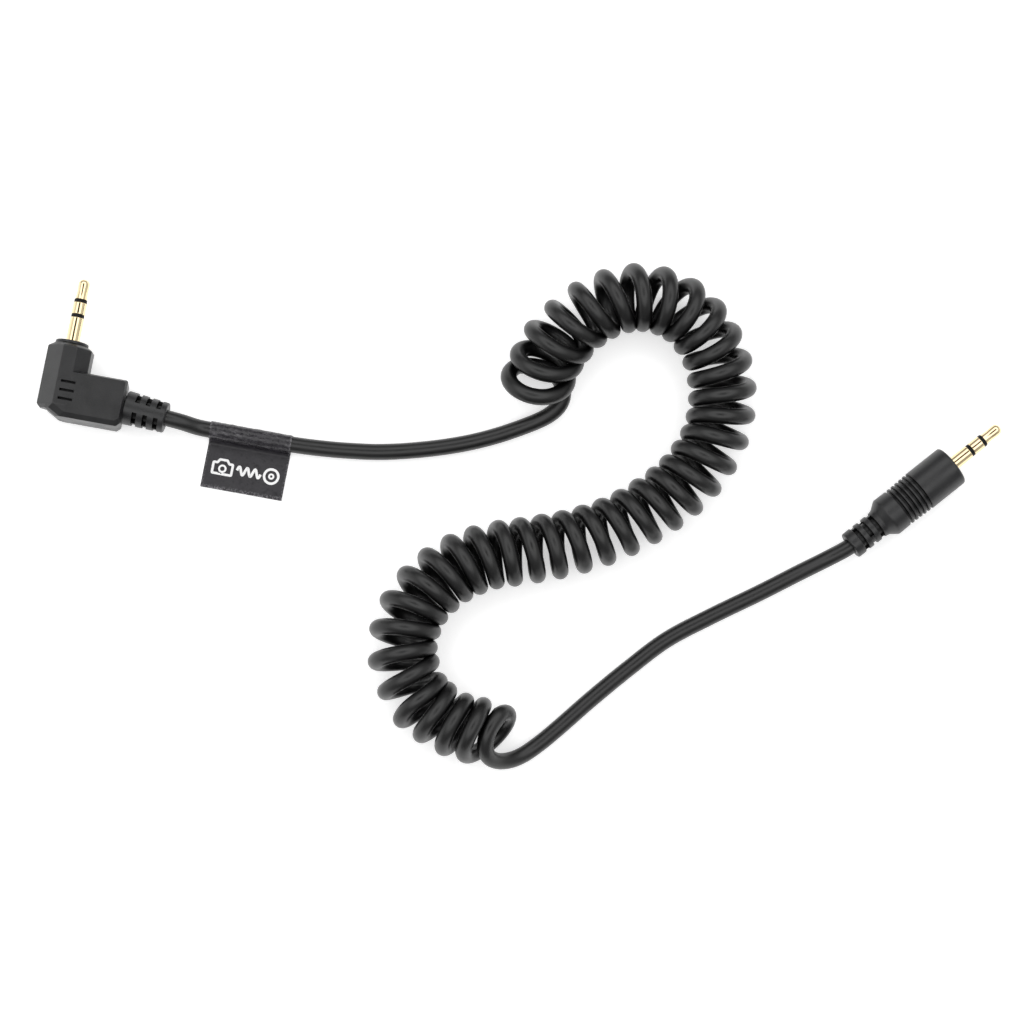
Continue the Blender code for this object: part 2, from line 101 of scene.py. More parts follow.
# Camera plug (mm)
BARREL_HALF = 4.15
BARREL_FRONT = -0.6
BARREL_BACK = -12.95
BARREL_CUT = 3.4
BARREL_ARM_CUT = 2.4
SHOULDER = 0.65
COLLAR_R = 3.05
COLLAR_T = 0.5
ARM_FRONT = -14.35
ARM_BACK = -5.65
ARM_END = -12.0
ARM_HALF = 4.12
ARM_OVER = 2.3
ARM_CORNER = 1.3
ARM_END_CORNER = 0.7
ARM_INSIDE = 0.06
ARM_DRAFT = 0.7
ARM_STATION = 10.0
ARM_BORE_R = 2.2
LINE_STATIONS = (7.9, 9.5, 11.1)
LINE_W = 0.48
LINE_LENGTH = 2.7
LINE_FLOOR = 3.6
RELIEF_TURN = -4.7
RELIEF_GAP = 0.1
RELIEF_LENGTH = 7.6
RELIEF_ROOT_R = 3.15
RELIEF_END_R = 2.8
SLOT_STATIONS = (2.1, 4.1, 6.1)
SLOT_ANGLES = ((14.0, 72.0), (108.0, 166.0), (194.0, 252.0), (288.0, 346.0))
SLOT_FLOOR_R = 2.0
NOTCH_ANGLES = ((-20.0, 20.0), (160.0, 200.0))
NOTCH_FLOOR_R = 2.68

# Remote plug (mm); each slot is a station and a turn about the axis (degrees)
REMOTE_R = 3.95
RIB_START = 7.7
RIB_PITCH = 0.92
RIB_COUNT = 5
GROOVE_W = 0.56
GROOVE_DEPTH = 0.55
REMOTE_LENGTH = 24.0
REMOTE_RELIEF_R = 2.6
REMOTE_NOTCH_R = 2.32
REMOTE_SLOTS = ((18.2, 10.0), (20.0, -40.0), (21.8, 10.0))
REMOTE_SLOT_HALF = 70.0
REMOTE_SLOT_FLOOR_R = 1.85

# Label (mm): the sheet is seen in rings along the cord; the wrap's arc is in degrees
LABEL_CENTRE = (-48.9, -3.6, 1.85)
LABEL_ANGLE = -10.4
LABEL_LENGTH = 15.2
LABEL_REACH = 10.4
LABEL_HOLE_R = 1.54
LABEL_SHEET = 0.12
LABEL_RINGS = 50
FLAP_START = 2.15
FLAP_STEPS = 26
WRAP_START = -115.0
WRAP_TURN = 318.0
WRAP_STEPS = 30
WRAP_EDGE = (1.5, 1.9)
SCUFF_SIDE = 0.45
SCUFF_FOOT = 0.8
PRINT_LIFT = 0.05
PRINT_TOP = 0.03
PRINT_SUNK = 0.02
PRINT_MIDDLE = -6.3
PRINT_WIDTH = 0.48
PRINT_SIDES = 32

# Axis of the curly cord: turns so far, x, y (mm), lean and swing (degrees), turn radius (mm)
COIL_ROUTE = [
    (0, 3.4, 5.1, 50, 0, 5.4), (1, 3.8, 6.8, 50, 0, 5.3), (2, 5.4, 10.3, 42, 0, 5.2),
    (3, 7.6, 13.8, 31, 0, 5.1), (5, 14.2, 19.35, 10, 0, 4.9), (7, 22.4, 21.6, -6, 0, 4.85),
    (9, 30.4, 19.1, -21, 0, 4.8), (11, 35.7, 12.2, -19, 0, 4.75), (13, 37.4, 3.6, -11, 0, 4.8),
    (15, 35.8, -4.6, -4, 0, 4.75), (17, 31.3, -11.6, -4, 0, 4.7), (19, 25.1, -16.8, 1, 0, 4.65),
    (21, 17.8, -20.9, 6, 0, 4.6), (23, 9.9, -23.6, 9, 0, 4.68), (25, 1.9, -25.1, 8, 0, 4.75),
    (27, -5.8, -26.35, 3, 0, 4.75), (29, -12.85, -29.5, 1, 0, 4.88), (31, -18.6, -35.4, -1, 0, 4.9),
    (33, -20.8, -43.6, -8, 0, 4.92), (35, -17.9, -51.9, -9, -2, 4.8), (36, -14.8, -54.6, -4, -9, 4.8),
    (37, -11.6, -56.5, -1, -14, 4.82), (38, -7.7, -57.75, 4, -15, 4.93), (39, -3.6, -59.1, 27, -17, 4.9),
    (40, -0.2, -59.8, 33, -17, 4.9),
]

# Straight stretches of the cord: x, y, z (m)
CAMERA_LEAD = [
    (-0.0729, 0.0019, 0.00415), (-0.0686, 0.00077, 0.00415), (-0.06423, -0.00041, 0.00415),
    (-0.0614, -0.0011, 0.0035), (-0.0586, -0.00182, 0.0022), (-0.0562, -0.00226, 0.00185),
    (-0.0525, -0.00294, 0.00185), (-0.0489, -0.0036, 0.00185), (-0.0453, -0.00426, 0.00185),
    (-0.0417, -0.00492, 0.00185), (-0.0372, -0.0055, 0.0016), (-0.032, -0.006, 0.00155),
    (-0.0249, -0.0063, 0.00155), (-0.017, -0.0058, 0.00155), (-0.0098, -0.00475, 0.00155),
    (-0.0039, -0.0033, 0.00155), (0.0014, -0.0015, 0.0016), (0.0056, 0.0, 0.0021),
    (0.0087, 0.0018, 0.0035),
]
REMOTE_LEAD = [
    (-0.0012, -0.0633, 0.0028), (0.0008, -0.0624, 0.0017), (0.0034, -0.0603, 0.00155),
    (0.0074, -0.05695, 0.00155), (0.0134, -0.0517, 0.00155), (0.0201, -0.0462, 0.00155),
    (0.027, -0.041, 0.00155), (0.0347, -0.0369, 0.00155), (0.0442, -0.0323, 0.00165),
    (0.0516, -0.0286, 0.0025), (0.057, -0.026, 0.00375), (0.06057, -0.02404, 0.00395),
    (0.0644, -0.021, 0.00395), (0.0700, -0.01654, 0.00395),
]


# ---- curves -------------------------------------------------------------------------------

def spline(knots, t):
    """The value at t of a smooth curve through (t, vector) knots."""
    k = 0
    while k < len(knots) - 2 and knots[k + 1][0] <= t:
        k += 1
    t0, p0 = knots[k]
    t1, p1 = knots[k + 1]
    before = knots[max(k - 1, 0)]
    after = knots[min(k + 2, len(knots) - 1)]
    m0 = (p1 - before[1]) / (t1 - before[0])
    m1 = (after[1] - p0) / (after[0] - t0)
    h = t1 - t0
    u = (t - t0) / h
    return (
        p0 * (2 * u**3 - 3 * u**2 + 1)
        + m0 * h * (u**3 - 2 * u**2 + u)
        + p1 * (3 * u**2 - 2 * u**3)
        + m1 * h * (u**3 - u**2)
    )


COIL_KNOTS = [(row[0], Vector(row[1:])) for row in COIL_ROUTE]


def coil_point(turn):
    """A point of the helix; the top of each loop is at a whole number of turns.

    Lean tips a loop's top back along the route, and swing turns the loop about the vertical.
    """
    x, y, lean, swing, radius = spline(COIL_KNOTS, turn)
    lean = math.radians(lean)
    step = 0.01
    ahead = spline(COIL_KNOTS, turn + step) - spline(COIL_KNOTS, turn - step)
    along = Vector((ahead[0], ahead[1], 0.0)).normalized()
    along = Matrix.Rotation(math.radians(swing), 3, "Z") @ along
    side = along.cross(Z)
    up = Z * math.cos(lean) - along * math.sin(lean)
    radius *= MM
    centre = Vector((x * MM, y * MM, radius * math.cos(lean) + CORD_R + FLOOR_GAP))
    angle = 2 * math.pi * turn
    return centre + up * radius * math.cos(angle) + side * radius * math.sin(angle)


def evenly(points, step, skip_head=0, skip_tail=0):
    """Points at an even step along a smooth curve, the outermost knots only shaping its ends."""
    pts = [Vector(p) for p in points]
    knots = [(0.0, pts[0])]
    for p in pts[1:]:
        knots.append((knots[-1][0] + (p - knots[-1][1]).length, p))
    start = knots[skip_head][0]
    end = knots[-1 - skip_tail][0]
    count = max(2, round((end - start) / step))
    return [spline(knots, start + (end - start) * k / count) for k in range(count + 1)]


def cord_path():
    """Points from one jacket end to the other: camera lead, helix, remote lead."""
    head = evenly(CAMERA_LEAD + [coil_point(JOIN_START), coil_point(JOIN_START + JOIN_NUDGE)],
                  LEAD_STEP, 0, 1)
    count = round((JOIN_END - JOIN_START) * RINGS_PER_TURN)
    coil = [coil_point(JOIN_START + k / RINGS_PER_TURN) for k in range(1, count)]
    tail = evenly([coil_point(JOIN_END - JOIN_NUDGE), coil_point(JOIN_END)] + REMOTE_LEAD,
                  LEAD_STEP, 1, 0)
    path = head + coil + tail
    for join in (len(head), len(head) + len(coil)):
        for _ in range(JOIN_PASSES):
            lo, hi = join - JOIN_REACH, join + JOIN_REACH
            path[lo:hi] = [
                path[k] / 2 + (path[k - 1] + path[k + 1]) / 4 for k in range(lo, hi)
            ]
    for point in path:
        point.z = max(point.z, CORD_R + FLOOR_GAP)
    return path


def fillet(corners, closed=True, steps=4):
    """The outline through (a, b, radius) corners, each rounded by an arc of its own radius."""
    points = []
    last = len(corners) - 1
    for k, (a, b, radius) in enumerate(corners):
        here = Vector((a, b))
        if radius == 0.0 or (not closed and k in (0, last)):
            points.append(here)
            continue
        back = (Vector(corners[k - 1][:2]) - here).normalized()
        ahead = (Vector(corners[(k + 1) % len(corners)][:2]) - here).normalized()
        half = back.angle(ahead) / 2
        reach = radius / math.tan(half)
        centre = here + (back + ahead).normalized() * radius / math.sin(half)
        first = (here + back * reach - centre).normalized()
        second = (here + ahead * reach - centre).normalized()
        for step in range(steps + 1):
            points.append(centre + first.slerp(second, step / steps) * radius)
    return points


def guarded(profile, closed=False):
    """The profile with a point close to each end of every long side, so that it shades flat."""
    points = [Vector(p) for p in profile]
    ends = points[1:] + ([points[0]] if closed else [])
    out = []
    for a, b in zip(points, ends):
        out.append(a)
        if (b - a).length > GUARD_SPAN:
            step = (b - a).normalized() * GUARD
            out += [a + step, b - step]
    return out if closed else out + [points[-1]]


# ---- meshes -------------------------------------------------------------------------------

def new_object(name, bm, mat=None):
    """A smooth-shaded object from a bmesh, sharp where faces meet at an angle."""
    bmesh.ops.recalc_face_normals(bm, faces=bm.faces)
    for face in bm.faces:
        face.smooth = True
    mesh = bpy.data.meshes.new(name)
    bm.to_mesh(mesh)
    bm.free()
    mesh.set_sharp_from_angle(angle=math.radians(CREASE))
    obj = bpy.data.objects.new(name, mesh)
    bpy.context.scene.collection.objects.link(obj)
    if mat:
        mesh.materials.append(mat)
    return obj


def skin(rings, closed_ends=True, cyclic=False):
    """A bmesh over rings of points; a ring of one point closes an end to a tip."""
    bm = bmesh.new()
    made = [[bm.verts.new(p) for p in ring] for ring in rings]
    pairs = list(zip(made, made[1:]))
    if cyclic:
        pairs.append((made[-1], made[0]))
    for a, b in pairs:
        count = max(len(a), len(b))
        for k in range(count):
            n = (k + 1) % count
            quad = [a[k % len(a)], a[n % len(a)], b[n % len(b)], b[k % len(b)]]
            corners = [v for i, v in enumerate(quad) if v not in quad[:i]]
            bm.faces.new(corners)
    if closed_ends and not cyclic:
        for ring in (made[0], made[-1]):
            if len(ring) > 2:
                bm.faces.new(ring)
    return bm


def lathe(profile, sides=TURNED_SIDES):
    """A bmesh turned about X from (radius, station) points; one with no tip gets a bore."""
    rings = []
    bored = profile[0][0] > 1e-6
    for radius, station in guarded(profile, closed=bored):
        if radius < 1e-6:
            rings.append([Vector((station, 0.0, 0.0))])
            continue
        rings.append([
            Vector((station, radius * math.cos(a), radius * math.sin(a)))
            for a in (2 * math.pi * k / sides for k in range(sides))
        ])
    return skin(rings, closed_ends=False, cyclic=bored)


def sweep(name, path, radius, sides, mat):
    """A round tube along a path, with a frame carried along it so that it never twists."""
    last = len(path) - 1
    tangents = [(path[min(k + 1, last)] - path[max(k - 1, 0)]).normalized() for k in range(last + 1)]
    normal = tangents[0].cross(Z).normalized()
    turns = [2 * math.pi * k / sides for k in range(sides)]
    rings = []
    for centre, tangent in zip(path, tangents):
        normal = (normal - tangent * normal.dot(tangent)).normalized()
        binormal = tangent.cross(normal)
        rings.append([centre + (normal * math.cos(a) + binormal * math.sin(a)) * radius for a in turns])
    return new_object(name, skin(rings), mat)


def carve(body, cutters, operation="DIFFERENCE"):
    """Cut the cutters out of a body, or join them to it, and throw them away."""
    for cutter in cutters:
        mod = body.modifiers.new("Carve", "BOOLEAN")
        mod.operation = operation
        mod.object = cutter
        mod.solver = "EXACT"
    depsgraph = bpy.context.evaluated_depsgraph_get()
    mesh = bpy.data.meshes.new_from_object(body.evaluated_get(depsgraph))
    body.modifiers.clear()
    body.data = mesh
    for cutter in cutters:
        bpy.data.objects.remove(cutter)


def shade_by_area(mesh, crease):
    """Normals that large faces dominate, so that flats shade flat and rounded edges take the turn."""
    around = [[] for _ in mesh.vertices]
    for face in mesh.polygons:
        for v in face.vertices:
            around[v].append((face.normal.copy(), face.area))
    limit = math.cos(math.radians(crease))
    normals = []
    for face in mesh.polygons:
        own = face.normal
        for v in face.vertices:
            total = Vector()
            for normal, area in around[v]:
                if normal.dot(own) > limit:
                    total += normal * area
            normals.append(total.normalized() if total.length > 0.0 else own.copy())
    mesh.normals_split_custom_set(normals)


def keep(obj, mat, nodes, matrix, crease=PIECE_CREASE):
    """Finish a piece: place it, shade it, attach it to the root, and hide the CAD nodes that it stands
    for.
    """
    obj.data.transform(matrix)
    obj.data.materials.clear()
    obj.data.materials.append(mat)
    obj.data.shade_smooth()
    obj.data.set_sharp_from_angle(angle=math.radians(crease))
    shade_by_area(obj.data, crease)
    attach(obj, "root")
    if nodes:
        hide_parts(*nodes)
    return obj


def turned(name, profile, mat, matrix):
    """A turned piece that stands for the CAD node of its own name."""
    obj = new_object(name + "_piece", lathe(profile))
    return keep(obj, mat, [name], matrix)


def prism(name, outline, low, high):
    """A cutter: an outline in two axes pushed along X from low to high."""
    rings = [[Vector((x, p[0], p[1])) for p in outline] for x in (low, high)]
    return new_object(name, skin(rings))


def plug_of(name, radius, front, back):
    """A cutter: a cylinder about X from one station to another."""
    return new_object(name, lathe([(0, front), (radius, front), (radius, back), (0, back)], HOLLOW_SIDES))


def sector(inner, start, end, station):
    """A cutter for a slot part of the way round: angles in degrees from +Y towards +Z."""
    turns = [math.radians(start + (end - start) * k / SLOT_STEPS) for k in range(SLOT_STEPS + 1)]
    outline = [(inner * math.cos(a), inner * math.sin(a)) for a in turns]
    outline += [(SLOT_OUTER_R * math.cos(a), SLOT_OUTER_R * math.sin(a)) for a in reversed(turns)]
    return prism("slot", outline, -station - SLOT_W / 2, -station + SLOT_W / 2)


# ---- materials ----------------------------------------------------------------------------

def node(tree, kind, **values):
    """A new shader node; each value sets the input of its name, or else the property."""
    made = tree.nodes.new(kind)
    for key, value in values.items():
        if key in made.inputs:
            made.inputs[key].default_value = value
        else:
            setattr(made, key, value)
    return made


def spread(tree, low, high, to_low, to_high, source, smooth=False):
    """The source mapped from low..high to to_low..to_high, clamped."""
    made = node(tree, "ShaderNodeMapRange")
    if smooth:
        made.interpolation_type = "SMOOTHSTEP"
    for key, value in (("From Min", low), ("From Max", high), ("To Min", to_low), ("To Max", to_high)):
        made.inputs[key].default_value = value
    tree.links.new(source, made.inputs["Value"])
    return made.outputs["Result"]


def maths(tree, operation, a, b=None):
    """A Math node's output; a and b are numbers or other nodes' outputs."""
    made = node(tree, "ShaderNodeMath", operation=operation)
    for slot, value in zip(made.inputs, (a, b)):
        if isinstance(value, (int, float)):
            slot.default_value = value
        elif value is not None:
            tree.links.new(value, slot)
    return made.outputs[0]


def material(name, dark, light, rough, bump, grain,
             metallic=0.0, specular=0.5, crevice=0.0, mottle=350.0):
    """A Principled material whose colour, roughness and height vary with a noise in object space.

    dark and light are the colours it varies between, rough is (lowest, highest) roughness, bump
    the height's strength, grain and mottle the noise scales of its height and of its colour.
    crevice is the reach (mm) within which a recess gets painted shade, its colour darkened and its
    specular level lowered; 0 for none.
    """
    mat = bpy.data.materials.new(name)
    mat.use_nodes = True
    tree = mat.node_tree
    shader = tree.nodes["Principled BSDF"]
    shader.inputs["Metallic"].default_value = metallic
    shader.inputs["Specular IOR Level"].default_value = specular
    coords = node(tree, "ShaderNodeTexCoord")
    broad = node(tree, "ShaderNodeTexNoise", Scale=mottle, Detail=3.0)
    fine = node(tree, "ShaderNodeTexNoise", Scale=grain, Detail=2.0)
    ramp = node(tree, "ShaderNodeMix", data_type="RGBA")
    ramp.inputs[6].default_value = (*dark, 1.0)
    ramp.inputs[7].default_value = (*light, 1.0)
    height = node(tree, "ShaderNodeBump", Strength=bump, Distance=0.05 * MM)
    link = tree.links.new
    link(coords.outputs["Object"], broad.inputs["Vector"])
    link(coords.outputs["Object"], fine.inputs["Vector"])
    link(broad.outputs["Fac"], ramp.inputs[0])
    link(ramp.outputs[2], shader.inputs["Base Color"])
    link(spread(tree, 0.3, 0.7, *rough, broad.outputs["Fac"]), shader.inputs["Roughness"])
    link(fine.outputs["Fac"], height.inputs["Height"])
    link(height.outputs["Normal"], shader.inputs["Normal"])
    # Painted shade: ambient occlusion darkens the colour and lowers the specular level in recesses, slots
    # and the gaps between strands.
    if crevice:
        crevice_painted_shade = node(tree, "ShaderNodeAmbientOcclusion", Distance=crevice * MM,
                     only_local=True, samples=6)
        crevice_shaded_specular = spread(tree, 0.3, 0.85, 0.05, specular, crevice_painted_shade.outputs["AO"])
        link(crevice_shaded_specular, shader.inputs["Specular IOR Level"])
        link(ramp.outputs[2], crevice_painted_shade.inputs["Color"])
        link(crevice_painted_shade.outputs["Color"], shader.inputs["Base Color"])
    return mat


def label_material():
    """Black vinyl: a mottled grain, a glossy wrap with painted highlights along its creases, and edges
    scuffed pale.
    """
    mat = material("label_vinyl", (0.004, 0.0036, 0.005), (0.034, 0.031, 0.038),
                   (0.3, 0.6), 0.9, 2600.0, mottle=1500.0)
    tree = mat.node_tree
    link = tree.links.new
    shader = tree.nodes["Principled BSDF"]
    plain = shader.inputs["Base Color"].links[0].from_socket
    rough = shader.inputs["Roughness"].links[0].from_socket
    coords = node(tree, "ShaderNodeTexCoord")
    split = node(tree, "ShaderNodeSeparateXYZ")
    link(coords.outputs["Object"], split.inputs[0])
    half = LABEL_LENGTH / 2 * MM
    off_middle = maths(tree, "ABSOLUTE", split.outputs["X"])
    side = spread(tree, half - SCUFF_SIDE * MM, half, 0.0, 1.0, off_middle)
    reach = LABEL_REACH * MM
    below = maths(tree, "MULTIPLY", split.outputs["Y"], -1.0)
    foot = spread(tree, reach - SCUFF_FOOT * MM, reach, 0.0, 1.0, below)
    edge = maths(tree, "MAXIMUM", maths(tree, "MULTIPLY", side, 0.8), foot)
    flecks = node(tree, "ShaderNodeTexNoise", Scale=2600.0, Detail=5.0, Roughness=0.7)
    link(coords.outputs["Object"], flecks.inputs["Vector"])
    worn = maths(tree, "MULTIPLY", edge, spread(tree, 0.47, 0.62, 0.0, 1.0, flecks.outputs["Fac"]))
    wrap_end, flap_start = (edge_y * MM for edge_y in WRAP_EDGE)
    wrap = spread(tree, wrap_end, flap_start, 1.0, 0.0, below)
    stretch = node(tree, "ShaderNodeMapping", Scale=(0.35, 1.0, 1.0))
    link(coords.outputs["Object"], stretch.inputs["Vector"])
    creases = node(tree, "ShaderNodeTexNoise", Scale=1800.0, Detail=4.0, Roughness=0.65)
    link(stretch.outputs["Vector"], creases.inputs["Vector"])
    # Painted highlights: pale lines along the wrap's creases stand in for light glinting off its folds.
    crease_glint_mask = spread(tree, 0.52, 0.7, 0.0, 0.3, creases.outputs["Fac"])
    painted_crease_glints = maths(tree, "MULTIPLY", wrap, crease_glint_mask)
    pale = maths(tree, "MAXIMUM", worn, painted_crease_glints)
    # One pale colour serves both the worn edges, which are real wear, and the painted crease highlights.
    scuff_and_glint = node(tree, "ShaderNodeMix", data_type="RGBA")
    scuff_and_glint.inputs[7].default_value = (0.3, 0.29, 0.31, 1.0)
    link(pale, scuff_and_glint.inputs[0])
    link(plain, scuff_and_glint.inputs[6])
    link(scuff_and_glint.outputs[2], shader.inputs["Base Color"])
    glossier = spread(tree, 0.0, 1.0, 1.0, 0.6, wrap)
    link(maths(tree, "MULTIPLY", rough, glossier), shader.inputs["Roughness"])
    return mat


# ---- stage --------------------------------------------------------------------------------

def cosine(degrees):
    return math.cos(math.radians(degrees))


def build_world():
    """A light tent: a broad soft ring overhead with a dark hole, brighter left than right."""
    world = bpy.data.worlds.new("studio")
    bpy.context.scene.world = world
    world.use_nodes = True
    tree = world.node_tree
    coords = node(tree, "ShaderNodeTexCoord")
    split = node(tree, "ShaderNodeSeparateXYZ")
    tree.links.new(coords.outputs["Generated"], split.inputs[0])
    x, y, z = split.outputs
    tilt = math.radians(90.0 - CAMERA_ELEVATION)
    overhead = maths(tree, "ADD", maths(tree, "MULTIPLY", y, math.sin(tilt)),
                     maths(tree, "MULTIPLY", z, math.cos(tilt)))
    ring = spread(tree, cosine(RING_EDGE), cosine(RING_FULL), RING_SKY, RING_LIGHT, overhead,
                  smooth=True)
    left = spread(tree, *LEFT_FADE, LEFT_LIGHT, 0.0, x, smooth=True)
    right = spread(tree, *RIGHT_FADE, 0.0, RIGHT_LIGHT, x, smooth=True)
    sky = maths(tree, "MAXIMUM", ring, maths(tree, "MAXIMUM", left, right))
    hole = spread(tree, cosine(HOLE_EDGE), cosine(HOLE_FULL), 1.0, HOLE_LIGHT, overhead, smooth=True)
    background = tree.nodes["Background"]
    background.inputs["Color"].default_value = (1.0, 1.0, 1.0, 1.0)
    tree.links.new(maths(tree, "MULTIPLY", sky, hole), background.inputs["Strength"])


def build_stage():
    """A white floor that glows a little, so that shadows on it stay faint."""
    floor_mat = bpy.data.materials.new("white_sweep")
    floor_mat.use_nodes = True
    shader = floor_mat.node_tree.nodes["Principled BSDF"]
    shader.inputs["Base Color"].default_value = FLOOR_COLOUR
    shader.inputs["Roughness"].default_value = 0.9
    shader.inputs["Specular IOR Level"].default_value = 0.0
    shader.inputs["Emission Color"].default_value = (1.0, 1.0, 1.0, 1.0)
    shader.inputs["Emission Strength"].default_value = FLOOR_GLOW
    bm = bmesh.new()
    bmesh.ops.create_grid(bm, x_segments=4, y_segments=4, size=FLOOR_HALF)
    floor = new_object("floor", bm, floor_mat)
    build_world()
    bpy.context.scene.view_settings.view_transform = "Standard"


def build_camera():
    data = bpy.data.cameras.new("camera")
    data.lens = CAMERA_LENS
    data.sensor_width = CAMERA_SENSOR
    data.clip_start = 0.01
    obj = bpy.data.objects.new("camera", data)
    bpy.context.scene.collection.objects.link(obj)
    elevation = math.radians(CAMERA_ELEVATION)
    back = Vector((0.0, -math.cos(elevation), math.sin(elevation)))
    obj.location = CAMERA_TARGET + back * CAMERA_DISTANCE
    obj.rotation_euler = (math.radians(90.0) - elevation, 0.0, 0.0)
    bpy.context.scene.camera = obj


# ---- plugs --------------------------------------------------------------------------------

def plug_matrix(mount_name, height):
    """From a plug's own millimetres to the world, by the mount at the root of its pin."""
    mount = next(m for m in frame["record"]["mounts"] if m["name"] == mount_name)
    x, y, _ = mount["pos_m"]
    angle = math.atan2(mount["axis"][1], mount["axis"][0])
    return (Matrix.Translation((x, y, height * MM)) @ Matrix.Rotation(angle, 4, "Z")
            @ Matrix.Scale(MM, 4))


def build_pin(prefix, matrix, length):
    """The coaxial poles of a 2.5 mm plug, back to the ends that the solder lugs sit on."""
    tip_back, ring_front, ring_back, sleeve_front = (length - d for d in PIN_STEPS)
    nose = [(NOSE_R * math.sin(a), length - NOSE_LENGTH + NOSE_LENGTH * math.cos(a))
            for a in (math.pi / 2 * k / 8 for k in range(9))]
    tip = nose + [
        (1.07, length - 1.6), (1.0, length - 2.5), (1.03, length - 3.1), (1.1, tip_back + 0.05),
        (1.05, tip_back), (0.35, tip_back), (0.35, -4.4), (0.0, -4.4),
    ]
    turned(prefix + "tip_contact", tip, gold, matrix)
    turned(prefix + "tip_insulator", fillet([
        (0.40, tip_back - POLE_GAP, 0), (1.19, tip_back - POLE_GAP, 0.06),
        (1.19, ring_front + POLE_GAP, 0.06), (0.60, ring_front + POLE_GAP, 0),
        (0.60, -3.6, 0), (0.40, -3.6, 0),
    ]), nylon, matrix)
    turned(prefix + "ring_contact", fillet([
        (0.65, ring_front, 0), (1.25, ring_front, 0.09), (1.25, ring_back, 0.09),
        (0.85, ring_back, 0), (0.85, -2.9, 0), (0.65, -2.9, 0),
    ]), gold, matrix)
    turned(prefix + "ring_insulator", fillet([
        (0.90, ring_back - POLE_GAP, 0), (1.19, ring_back - POLE_GAP, 0.06),
        (1.19, sleeve_front + POLE_GAP, 0.06), (1.05, sleeve_front + POLE_GAP, 0),
        (1.05, -2.2, 0), (0.90, -2.2, 0),
    ]), nylon, matrix)
    turned(prefix + "sleeve_contact", fillet([
        (1.10, sleeve_front, 0), (1.25, sleeve_front, 0.09), (1.25, 0.22, 0.08), (1.47, 0.1, 0.05),
        (1.47, -0.25, 0), (1.25, -0.25, 0), (1.25, -0.8, 0), (2.0, -0.8, 0.05), (2.0, -1.4, 0.05),
        (1.25, -1.4, 0), (1.25, -1.9, 0), (1.10, -1.9, 0),
    ]), gold, matrix)


def barrel_ring(station, inset, roundness):
    """A section of the barrel: its octagon, blended towards a circle at the collar."""
    half = BARREL_HALF - inset
    shrink = inset * (2.0 - math.sqrt(2.0))
    far = half - (BARREL_CUT - shrink)
    near = half - (BARREL_ARM_CUT - shrink)
    corners = [
        (far, half), (half, far), (half, -far), (far, -half),
        (-near, -half), (-half, -near), (-half, near), (-near, half),
    ]
    rounded = fillet([(a, b, 0.3) for a, b in corners])
    outline = []
    for a, b in zip(rounded, rounded[1:] + rounded[:1]):
        pieces = 6 if (b - a).length > 0.3 else 1
        outline += [a.lerp(b, k / pieces) for k in range(pieces)]
    ring = []
    for p in outline:
        p = p.lerp(p.normalized() * half, roundness)
        ring.append(Vector((station, p.x, p.y)))
    return ring


def arm_ring(height, inset):
    """A level section of the arm; inset draws its sides in, each by its own chamfer's width.

    Its far side stays inside the barrel's wide corner cuts.
    """
    front = ARM_FRONT + 0.95 * inset
    back = ARM_BACK - 0.35 * inset
    draft = ARM_DRAFT * max(0.0, ARM_HALF - 0.75 - height) / (2 * ARM_HALF)
    end = ARM_END + 0.35 * inset + draft
    over = min(ARM_OVER, 2 * BARREL_HALF - BARREL_CUT - ARM_INSIDE - abs(height))
    outline = fillet([
        (back, over, 0.1), (front + ARM_CORNER, over, 0.1), (front, over - ARM_OVER, 0.5),
        (front, end + ARM_END_CORNER, 0.5), (front + ARM_END_CORNER, end, 0.5), (back, end, 0.4),
    ])
    return [Vector((p.x, p.y, height)) for p in outline]


def build_camera_housing(prefix, matrix):
    """The barrel and the arm in one moulding, hollow for the contacts, wires and cord."""
    drawn_in = BARREL_HALF - COLLAR_R - 0.1
    sections = fillet([
        (BARREL_FRONT, drawn_in, 0), (BARREL_FRONT - 0.05, drawn_in - 0.12, 0),
        (BARREL_FRONT - SHOULDER, 0.0, 0.35), (BARREL_BACK + SHOULDER, 0.0, 0.35),
        (BARREL_BACK, SHOULDER, 0.25), (BARREL_BACK, SHOULDER + 0.6, 0),
    ], closed=False)
    rings = []
    for station, inset in guarded(sections):
        front_share = min(1.0, inset / drawn_in) if station > -6.0 else 0.0
        rings.append(barrel_ring(station, inset, front_share))
    housing = new_object(prefix + "housing_piece", skin(rings))
    level = 2 * BARREL_HALF - BARREL_CUT - ARM_INSIDE - ARM_OVER
    levels = fillet([
        (-ARM_HALF, 1.0, 0), (-ARM_HALF, 0.75, 0.2), (-ARM_HALF + 0.7, 0.0, 0.25),
        (-level, 0.0, 0), (level, 0.0, 0), (ARM_HALF - 0.75, 0.0, 0.2), (ARM_HALF, 0.95, 0.15),
        (ARM_HALF, 1.3, 0),
    ], closed=False)
    arm = new_object("arm", skin([arm_ring(height, inset) for height, inset in guarded(levels)]))
    carve(housing, [arm], "UNION")
    hollows = [
        plug_of("cavity", CAVITY_R, -1.2, -11.9),
        plug_of("mouth", 2.3, 1.0, -1.6),
    ]
    bore = plug_of("arm_bore", ARM_BORE_R, 0.0, -14.0)
    bore.data.transform(Matrix.Translation((-ARM_STATION, 0, 0)) @ Matrix.Rotation(math.pi / 2, 4, "Z"))
    hollows.append(bore)
    for station in LINE_STATIONS:
        above = LINE_FLOOR + 1.0
        slot = [(0.0, LINE_FLOOR), (0.0, above), (-LINE_LENGTH, above), (-LINE_LENGTH, LINE_FLOOR)]
        hollows.append(prism("line", slot, -station - LINE_W / 2, -station + LINE_W / 2))
    carve(housing, hollows)
    keep(housing, moulded, [prefix + "housing"], matrix)


